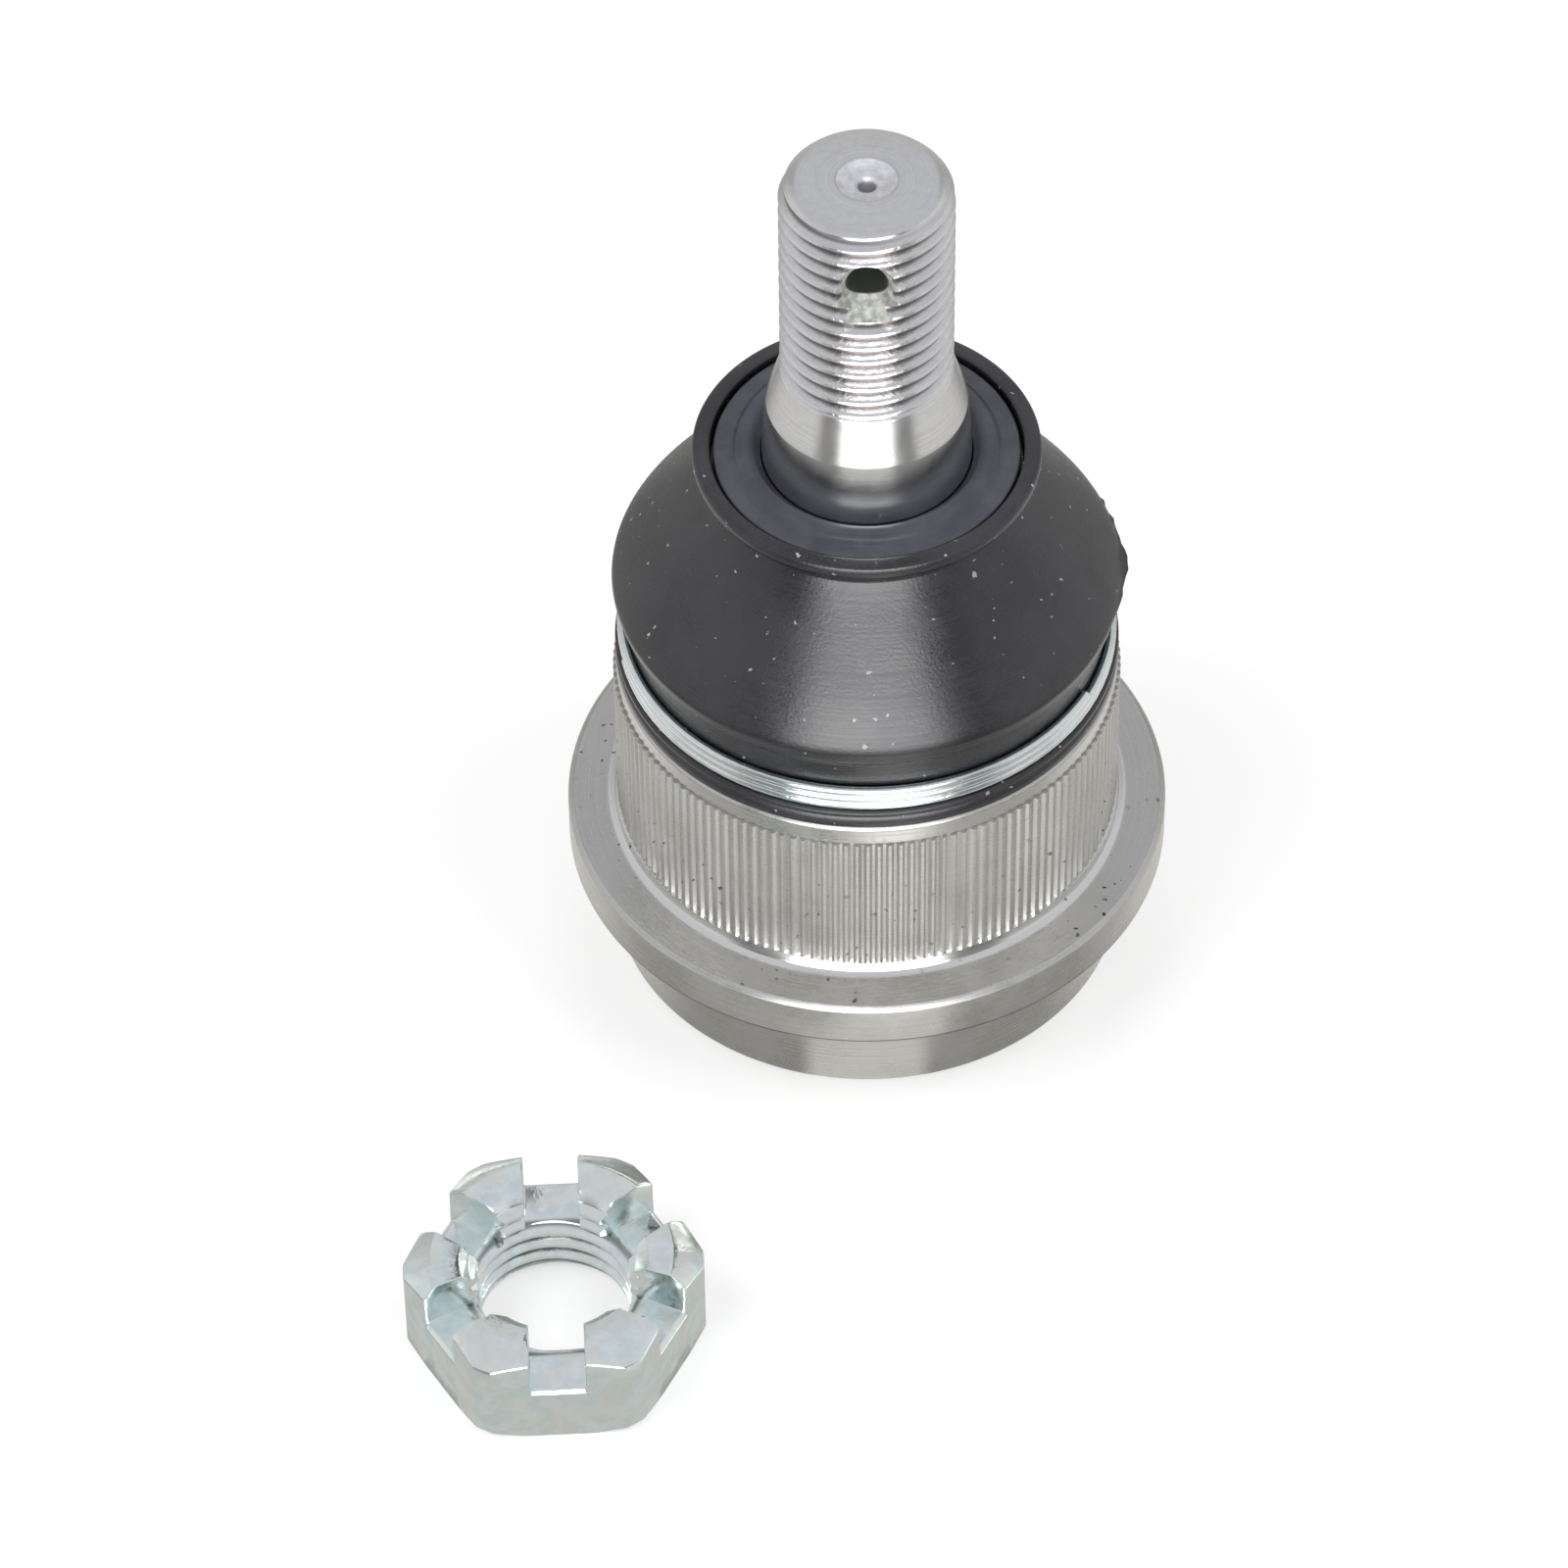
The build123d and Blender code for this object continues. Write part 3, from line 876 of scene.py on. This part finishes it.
def radius_and_height(place):
    """Distance from the axis, and height, of a place."""
    x, y, z = add("SeparateXYZ", {0: place}).node.outputs
    squares = calculate("ADD", product(x, x), product(y, y))
    return calculate("SQRT", squares), z


# %% Rings, patches and specks
rings_group, given = start_group("turning_rings", ["Per mm"], ["Rings"])
across, along = radius_and_height(given["Place"])
ring_place = add(
    "CombineXYZ",
    {0: product(across, given["Per mm"]), 1: product(along, given["Per mm"])},
)
fine_rings = add("TexNoise", {"Vector": ring_place, "Scale": 1.0, "Detail": 3.0, "Roughness": 0.7})
end_group(rings_group, Rings=ramp(fine_rings, 0.3, 0.7))

patches_group, given = start_group("patches", ["Size mm"], ["Patches"])
patch_noise = add(
    "TexNoise",
    {
        "Vector": given["Place"],
        "Scale": calculate("DIVIDE", 1.0, given["Size mm"]),
        "Detail": 4.0,
        "Roughness": 0.6,
    },
)
end_group(patches_group, Patches=ramp(patch_noise, 0.35, 0.65))

specks_group, given = start_group("specks", ["Spacing mm", "Size mm", "Share"], ["Specks"])
speck_scale = calculate("DIVIDE", 1.0, given["Spacing mm"])
speck_bend = add("TexNoise", {"Vector": given["Place"], "Scale": 2.5, "Detail": 2.0}, output=1)
speck_shift = add("VectorMath", {0: speck_bend, 3: 0.6}, operation="SCALE")
bent_place = add("VectorMath", {0: given["Place"], 1: speck_shift}, operation="ADD")
speck_cell = add("TexVoronoi", {"Vector": bent_place, "Scale": speck_scale})
speck_distance = product(speck_cell, given["Spacing mm"])
cell_chance, cell_size, _ = add(
    "SeparateColor", {0: speck_cell.node.outputs["Color"]}
).node.outputs
chosen = calculate("LESS_THAN", cell_chance, given["Share"])
own_size = product(given["Size mm"], calculate("ADD", cell_size, 0.3))
inside = calculate("LESS_THAN", speck_distance, own_size)
end_group(specks_group, Specks=product(chosen, inside))


def pattern(group, place, **numbers):
    """Places a shared pattern in a material, with its own values."""
    node = place.id_data.nodes.new("ShaderNodeGroup")
    node.node_tree = group
    link(node, Place=place)
    for name, number in numbers.items():
        node.inputs[name.replace("_", " ")].default_value = number
    return node.outputs[0]


# %% Starting and placing a material
def start_material(name, axis=(0, 0, 0), **settings):
    """A material; gives its Principled shader too, and a place in mm from the axis."""
    material = bpy.data.materials.new(name)
    material.use_nodes = True
    shader = material.node_tree.nodes["Principled BSDF"]
    for socket, value in settings.items():
        shader.inputs[socket.replace("_", " ")].default_value = value
    place = add(
        "Mapping",
        {
            "Vector": add("TexCoord", {}, output=3, tree=material.node_tree),
            "Location": [-value for value in axis],
            "Scale": (1 / MM, 1 / MM, 1 / MM),
        },
    )
    return material, shader, place


def dull(rings, smooth, rough, patches, more):
    """A roughness between smooth and rough along the rings, with a little more in patches."""
    return calculate("ADD", ramp(rings, 0, 1, smooth, rough), ramp(patches, 0, 1, 0, more))


def shade(shader, color, roughness, height, depth):
    """Links colour, roughness and a bump that is depth millimetres deep to the shader."""
    bump = add("Bump", {"Height": height, "Distance": depth * MM, "Strength": 1.0})
    link(shader, Base_Color=color, Roughness=roughness, Normal=bump)


def wear(piece, material):
    """Gives a piece its material."""
    piece.data.materials.clear()
    piece.data.materials.append(material)
    print(piece.name, "wears", material.name)

# %% [markdown]
# ## Steel
#
# The housing and the stud are bare steel: metallic, a little warm, and duller where the tool's
# rings are coarser. Fine swarf collects round the flange, and a rolled face is duller than a
# turned one. Shade is painted into the knurl's roots, most near its ends, onto the step at the
# knurl's top and along the flange's lower edge, and into the thread's valleys as painted shade
# tinted brown like oil. Such places are told apart by their height and their distance from the
# axis, and each lays its own colour over the steel's.

# %% Housing steel
steel, shader, place = start_material("bare_steel", Metallic=1.0)
radius, height = radius_and_height(place)
rings = pattern(rings_group, place, Per_mm=7.0)
patches = pattern(patches_group, place, Size_mm=5.0)
swarf = pattern(specks_group, place, Spacing_mm=0.8, Size_mm=0.17, Share=0.45)
# Painted shade: the knurl's roots get a darker colour, faintly all along and most near its ends.
in_root = ramp(radius, crest_radius - 0.02, crest_radius - 0.42)
in_knurl = band(height, knurl_bottom, knurl_bottom + 0.6, knurl_top, knurl_top + 0.3)
painted_root_shade_near_ends = calculate(
    "MAXIMUM",
    ramp(height, knurl_bottom + 0.6, knurl_bottom + 0.2, 0.3, 0.85),
    ramp(height, knurl_top - 0.1, knurl_top, 0.3, 0.7),
)
# Painted shade: a darker line on the step at the knurl's top.
shaded_step = band(height, knurl_top - 0.03, knurl_top, knurl_top + 0.08, knurl_top + 0.11)
in_fillet = band(height, flange_top + 0.01, flange_top + 0.05, knurl_bottom, knurl_bottom + 0.1)
# Painted shade: a dark line along the flange's lower edge, where the flange shades the hub.
shade_on_lower_edge = product(
    ramp(height, flange_bottom + 0.5, flange_bottom + 0.42),
    ramp(radius, flange_radius - 0.5, flange_radius - 0.4),
)
where_swarf_lies = band(
    height, flange_top - 0.05, flange_top, knurl_bottom + 3.0, knurl_bottom + 14.0
)
color = layer_colors(
    blend_colors(rings, (0.58, 0.575, 0.555, 1), (0.46, 0.455, 0.44, 1)),
    (patches, 0.35, (0.62, 0.62, 0.61, 1)),
    (product(in_root, in_knurl, painted_root_shade_near_ends), 1, (0.22, 0.21, 0.19, 1)),
    (shaded_step, 0.45, (0.16, 0.155, 0.15, 1)),
    (in_fillet, 1, (0.8, 0.8, 0.79, 1)),
    (shade_on_lower_edge, 0.75, (0.08, 0.075, 0.07, 1)),
    (product(swarf, where_swarf_lies, patches), 1, (0.03, 0.028, 0.025, 1)),
)
dullness = dull(rings, 0.22, 0.33, patches, 0.06)
dullness = calculate("ADD", dullness, product(in_knurl, 0.2))
dullness = add("Mix", {0: in_fillet, 2: dullness, 3: 0.14})
shade(shader, color, dullness, rings, 0.002)
wear(housing, steel)

# %% Places on the stud
stud_finish, shader, place = start_material("bright_stud_steel", Metallic=1.0)
radius, height = radius_and_height(place)
# Painted shade, tinted brown like oil, in the valleys of the thread.
valley_shade = product(
    band(calculate("SUBTRACT", radius, thread_root_radius), -0.25, -0.1, 0.2, 0.5),
    band(height, thread_start, thread_start + 0.2, stud_top - 1.1, stud_top - 0.7),
)
on_thread = band(height, thread_start, thread_start + 0.2, stud_top - 1.3, stud_top - 0.9)
x, y, _ = add("SeparateXYZ", {0: place}).node.outputs
above_hole = calculate("SUBTRACT", height, cotter_height)
sink_place = add(
    "CombineXYZ",
    {
        0: calculate("DIVIDE", x, sink_width),
        1: calculate("SUBTRACT", calculate("ABSOLUTE", y), cotter_wall),
        2: above_hole,
    },
)
sink_axis = Vector((0, cos(radians(sink_tilt)), -sin(radians(sink_tilt))))
along_sink = add("VectorMath", {0: sink_place, 1: sink_axis}, output=1, operation="DOT_PRODUCT")
on_sink_axis = add("VectorMath", {0: sink_axis, 3: along_sink}, operation="SCALE")
off_sink_axis = add("VectorMath", {0: sink_place, 1: on_sink_axis}, output=1, operation="DISTANCE")
sink_size = calculate("ADD", along_sink, cotter_radius)
in_sink = product(
    ramp(calculate("SUBTRACT", off_sink_axis, sink_size), 0.12, 0.04),
    ramp(along_sink, -0.2, 0.1),
)
from_hole_squared = calculate("ADD", product(x, x), product(above_hole, above_hole))
from_hole = calculate("SQRT", from_hole_squared)
# Painted shade inside the cotter hole.
in_hole = product(
    ramp(from_hole, cotter_radius + 0.1, cotter_radius + 0.03),
    ramp(radius, thread_root_radius, thread_root_radius - 0.4),
)
in_mark = product(
    ramp(radius, centre_mark_radius + 0.1, centre_mark_radius - 0.2),
    ramp(height, stud_top - 2.5, stud_top - 2.0),
)
# Painted shade: a dark ring at the rim of the centre mark, and a dark pit at its middle.
on_mark_edge = product(in_mark, calculate("SUBTRACT", 1.0, in_mark))
in_pit = product(in_mark, ramp(radius, 0.85, 0.6))

# %% Stud steel
rings = pattern(rings_group, place, Per_mm=9.0)
patches = pattern(patches_group, place, Size_mm=2.2)
scuffs = pattern(patches_group, place, Size_mm=0.7)
sink_color = blend_colors(scuffs, (0.60, 0.61, 0.58, 1), (0.34, 0.345, 0.33, 1))
color = layer_colors(
    blend_colors(rings, (0.78, 0.78, 0.785, 1), (0.68, 0.68, 0.69, 1)),
    (scuffs, 0.2, (0.56, 0.56, 0.58, 1)),
    (valley_shade, 0.8, (0.12, 0.085, 0.075, 1)),
    (product(in_mark, scuffs), 1, (0.88, 0.88, 0.91, 1)),
    (on_mark_edge, 1.6, (0.35, 0.35, 0.37, 1)),
    (in_pit, 0.85, (0.2, 0.2, 0.21, 1)),
    (in_sink, 1, sink_color),
    (in_hole, 1, (0.15, 0.16, 0.15, 1)),
)
bored = calculate("MAXIMUM", in_sink, in_hole)
dull_places = calculate("MAXIMUM", bored, product(in_mark, 0.6))
dullness = dull(rings, 0.17, 0.21, patches, 0.03)
dullness = add("Mix", {0: dull_places, 2: dullness, 3: 0.8})
dents = product(pattern(patches_group, place, Size_mm=0.55), on_thread, 16.0)
shade(shader, color, dullness, calculate("ADD", rings, dents), 0.0007)
wear(stud, stud_finish)

# %% [markdown]
# ## Zinc plate
#
# The nut and the clamp wire are zinc plated and passivated, which turns them pale and bluish,
# with a few warmer places. The plating is bright, and a little milky in patches. Painted shade
# darkens the valleys of the nut's thread.

# %% Zinc
def zinc(name, axis, patch_size, bright_color, milky_color):
    """A bluish zinc plate; gives its material, shader, place and colour."""
    material, shader, place = start_material(name, axis, Metallic=1.0)
    milky = pattern(patches_group, place, Size_mm=patch_size)
    tint = add("TexNoise", {"Vector": place, "Scale": 0.35, "Detail": 1.0})
    warm = ramp(tint, 0.42, 0.66, 0, 0.4)
    color = blend_colors(milky, bright_color, milky_color)
    color = blend_colors(warm, color, (0.90, 0.87, 0.80, 1))
    shade(shader, color, ramp(milky, 0, 1, 0.10, 0.2), milky, 0.01)
    return material, shader, place, color


nut_finish, shader, place, color = zinc(
    "nut_zinc_plate", nut_place, 1.6, (0.87, 0.95, 0.95, 1), (0.77, 0.86, 0.86, 1)
)
radius, height = radius_and_height(place)
# Painted shade in the valleys of the nut's thread, below the slots.
valley_shade = product(
    band(calculate("SUBTRACT", radius, thread_radius), -0.45, -0.05, 0.3, 0.6),
    ramp(height, slot_floor - 0.1, slot_floor - 0.3),
)
color = layer_colors(color, (valley_shade, 0.8, (0.16, 0.18, 0.16, 1)))
link(shader, Base_Color=color)
wear(nut, nut_finish)
wire_colors = (0.78, 0.85, 0.87, 1), (0.70, 0.77, 0.79, 1)
wear(wire, zinc("wire_zinc_plate", (0, 0, 0), 3.0, *wire_colors)[0])

# %% [markdown]
# ## Rubber
#
# The boot is black rubber with a satin skin. Handling leaves faint scratches that run round it,
# and dust sits on it as pale specks. The washer in its mouth is a smoother, blue-grey rubber.

# %% Boot rubber
rubber, shader, place = start_material("black_boot_rubber", Specular_IOR_Level=0.74)
rings = pattern(rings_group, place, Per_mm=3.5)
smears = pattern(patches_group, place, Size_mm=7.0)
grain = pattern(patches_group, place, Size_mm=0.25)
dust = calculate(
    "MAXIMUM",
    pattern(specks_group, place, Spacing_mm=2.0, Size_mm=0.2, Share=0.5),
    pattern(specks_group, place, Spacing_mm=0.8, Size_mm=0.11, Share=0.25),
)
color = blend_colors(smears, (0.010, 0.010, 0.013, 1), (0.020, 0.020, 0.025, 1))
color = layer_colors(color, (dust, 0.8, (0.45, 0.45, 0.44, 1)))
dullness = dull(rings, 0.22, 0.29, smears, 0.06)
shade(shader, color, dullness, calculate("ADD", grain, dust), 0.006)
wear(boot, rubber)

# %% Washer rubber
washer_finish, shader, place = start_material("blue_grey_washer_rubber", Specular_IOR_Level=0.7)
smears = pattern(patches_group, place, Size_mm=3.0)
grain = pattern(patches_group, place, Size_mm=0.3)
dust = pattern(specks_group, place, Spacing_mm=1.4, Size_mm=0.09, Share=0.2)
color = blend_colors(smears, (0.035, 0.037, 0.048, 1), (0.052, 0.054, 0.066, 1))
color = layer_colors(color, (dust, 0.7, (0.4, 0.4, 0.4, 1)))
shade(shader, color, ramp(smears, 0, 1, 0.3, 0.38), grain, 0.004)
wear(washer, washer_finish)

# %% [markdown]
# ## The pieces inside
#
# The cover plate, the disc spring and the two halves of the plastic bearing keep the frame's own
# solids, because their shape is right. They get finishes of their own, so that the joint also
# looks right from below and cut open.

# %% Finishes of the pieces inside
def inner_metal(name, light, dark, smoothest):
    """A plain steel with faint rings."""
    material, shader, place = start_material(name, Metallic=1.0)
    rings = pattern(rings_group, place, Per_mm=4.0)
    patches = pattern(patches_group, place, Size_mm=4.0)
    color = blend_colors(product(rings, patches), light, dark)
    dullness = ramp(patches, 0, 1, smoothest, smoothest + 0.12)
    shade(shader, color, dullness, rings, 0.004)
    return material


plastic, shader, place = start_material("natural_bearing_plastic", Subsurface_Weight=0.1)
flow = pattern(patches_group, place, Size_mm=8.0)
grain = pattern(patches_group, place, Size_mm=0.3)
color = blend_colors(flow, (0.80, 0.79, 0.73, 1), (0.72, 0.71, 0.64, 1))
shade(shader, color, ramp(flow, 0, 1, 0.35, 0.45), grain, 0.004)
cover_colors = (0.5, 0.5, 0.49, 1), (0.36, 0.36, 0.35, 1)
spring_colors = (0.3, 0.3, 0.31, 1), (0.2, 0.2, 0.21, 1)
inner_finishes = {
    "cover_plate": inner_metal("cover_plate_steel", *cover_colors, 0.3),
    "disc_spring": inner_metal("disc_spring_steel", *spring_colors, 0.35),
    "upper_bearing": plastic,
    "lower_bearing": plastic,
}
for node_name, finish in inner_finishes.items():
    wear(frame["nodes"][node_name], finish)

# %% [markdown]
# ## The studio
#
# Shiny steel shows what is round it, so a small studio is built for the reflections: a bright
# front, a darker band beside it on each side, and pale walls beyond. One node group holds that
# sweep, as it looks near by and far off. The floor and the world share it, and only glossy rays
# see it. The eye sees a white floor with the object's soft shadow, and lamps and world light
# everything at a plain level.

# %% What the metal sees
FRONT_EDGE = 27  # degrees from the front
sweep_group, given = start_group("studio_sweep", [], ["Near", "Far", "Front"])
x, y, _ = add("SeparateXYZ", {0: given["Place"]}).node.outputs
turned = calculate("ARCTAN2", x, product(y, -1.0))
from_front = calculate("ABSOLUTE", turned)
turned_share = calculate("DIVIDE", from_front, pi)


def wall_brightness(wall_stops):
    """Brightness that runs through (degrees from the front, brightness)."""
    walls = add("ValToRGB", {0: turned_share})
    stops = walls.node.color_ramp.elements
    while len(stops) < len(wall_stops):
        stops.new(0.5)
    for stop, (degrees, brightness) in zip(stops, wall_stops):
        stop.position = degrees / 180
        stop.color = (brightness, brightness, brightness, 1)
    return walls


near_walls = wall_brightness([(0, 1.0), (FRONT_EDGE, 1.0), (35, 0.48), (80, 0.5), (105, 0.9),
                              (125, 0.9), (145, 0.5), (168, 0.85), (180, 0.9)])
far_walls = wall_brightness([(0, 1.0), (FRONT_EDGE, 1.0), (32, 0.25), (48, 0.25), (58, 0.75),
                             (115, 0.75), (145, 0.45), (168, 0.6), (180, 0.6)])
in_front = ramp(from_front, radians(FRONT_EDGE + 6), radians(FRONT_EDGE - 3))
end_group(sweep_group, Near=near_walls, Far=far_walls, Front=in_front)


def rays_of(tree):
    """Two masks: the glossy rays, and those that reach the eye, straight or through glass."""
    rays = add("LightPath", {}, tree=tree).node.outputs
    to_eye = calculate("MAXIMUM", rays["Is Camera Ray"], rays["Is Transmission Ray"])
    return rays["Is Glossy Ray"], to_eye


# %% The world
WORLD_LEVEL = 0.5
FRONT_LEVEL = 6.0
CEILING_LEVEL = 0.68
world = bpy.data.worlds.new("studio")
bpy.context.scene.world = world
world.use_nodes = True
world.cycles.sampling_method = "NONE"
direction = add("TexCoord", {}, tree=world.node_tree)
_, brightness, front = pattern(sweep_group, direction).node.outputs
upwards = add("SeparateXYZ", {0: direction}, output=2)
low_front = product(front, ramp(upwards, 0.65, 0.55))
lit = product(brightness, ramp(low_front, 0, 1, 1, FRONT_LEVEL))
ceiling = product(ramp(upwards, 0.5, 0.66), ramp(low_front, 1, 0))
seen_by_gloss = add("Mix", {0: ceiling, 2: lit, 3: CEILING_LEVEL}, data_type="FLOAT")
glossy, to_eye = rays_of(world.node_tree)
level = add("Mix", {0: glossy, 2: WORLD_LEVEL, 3: seen_by_gloss})
level = add("Mix", {0: to_eye, 2: level, 3: 1.0})
color = blend_colors(product(ceiling, glossy), (1, 1, 1, 1), (0.95, 0.955, 1, 1))
link(world.node_tree.nodes["Background"], Color=color, Strength=level)

# %% The floor
FLOOR_SIZE = 6.0  # metres
SWEEP_MIDDLE = 13.0  # mm in front of the barrel's axis
EYE_GLOW = 0.55
NUT_GLOW = 0.55
deselect_all()
bpy.ops.mesh.primitive_plane_add(size=FLOOR_SIZE, location=(0, 0, frame_low.z))
floor = bpy.context.object
floor.name = "floor"
bpy.ops.object.transform_apply(location=True, rotation=False, scale=False)
paper, shader, place = start_material("white_floor", Roughness=0.9, Specular_IOR_Level=0.0)
paper.cycles.emission_sampling = "NONE"
sweep_place = add("VectorMath", {0: place, 1: (0, SWEEP_MIDDLE, 0)})
near, far, front = pattern(sweep_group, sweep_place).node.outputs
distance, _ = radius_and_height(place)
near = product(near, ramp(distance, 36.0, 50.0, 0.85, 1.3), ramp(distance, 60.0, 72.0, 1.0, 0.5))
brightness = add("Mix", {0: ramp(distance, 90.0, 180.0), 2: near, 3: far})
card = calculate(
    "ADD",
    product(band(distance, 41.0, 48.0, 58.0, 66.0), 0.5),
    ramp(distance, 95.0, 170.0, 0, 0.8),
)
lit = calculate("ADD", brightness, product(card, front))
from_nut = add("VectorMath", {0: place, 1: nut_place}, output=1, operation="DISTANCE")
lit = add("Mix", {0: ramp(from_nut, 27.0, 20.0), 2: lit, 3: NUT_GLOW})
glossy, to_eye = rays_of(paper.node_tree)
eye_glow = product(to_eye, ramp(distance, 120.0, 300.0, EYE_GLOW, 1.0))
glow = add("Mix", {0: glossy, 2: eye_glow, 3: lit})
color = blend_colors(to_eye, (0.85, 0.85, 0.85, 1), (0.46, 0.46, 0.46, 1))
color = blend_colors(glossy, color, (0, 0, 0, 1))
tint = blend_colors(glossy, (1, 1, 1, 1), (1, 0.99, 0.955, 1))
link(shader, Base_Color=color, Emission_Color=tint, Emission_Strength=glow)
floor.data.materials.append(paper)


# %% The lamps
def soft_lamp(name, place, size, power):
    """A square lamp that looks at the object; gloss gets its light from the studio instead."""
    lamp_data = bpy.data.lights.new(name, "AREA")
    lamp_data.size, lamp_data.energy = size, power
    lamp = bpy.data.objects.new(name, lamp_data)
    bpy.context.scene.collection.objects.link(lamp)
    lamp.location = place
    lamp.rotation_euler = (-Vector(place)).to_track_quat("-Z", "Y").to_euler()
    lamp.visible_glossy = False


soft_lamp("left_lamp", (-0.45, -0.25, 0.7), 0.5, 3.6)
soft_lamp("right_lamp", (0.5, -0.15, 0.7), 0.5, 3.0)
soft_lamp("back_lamp", (0.0, 0.6, 0.6), 0.4, 1.2)
bpy.context.scene.view_settings.view_transform = "Standard"
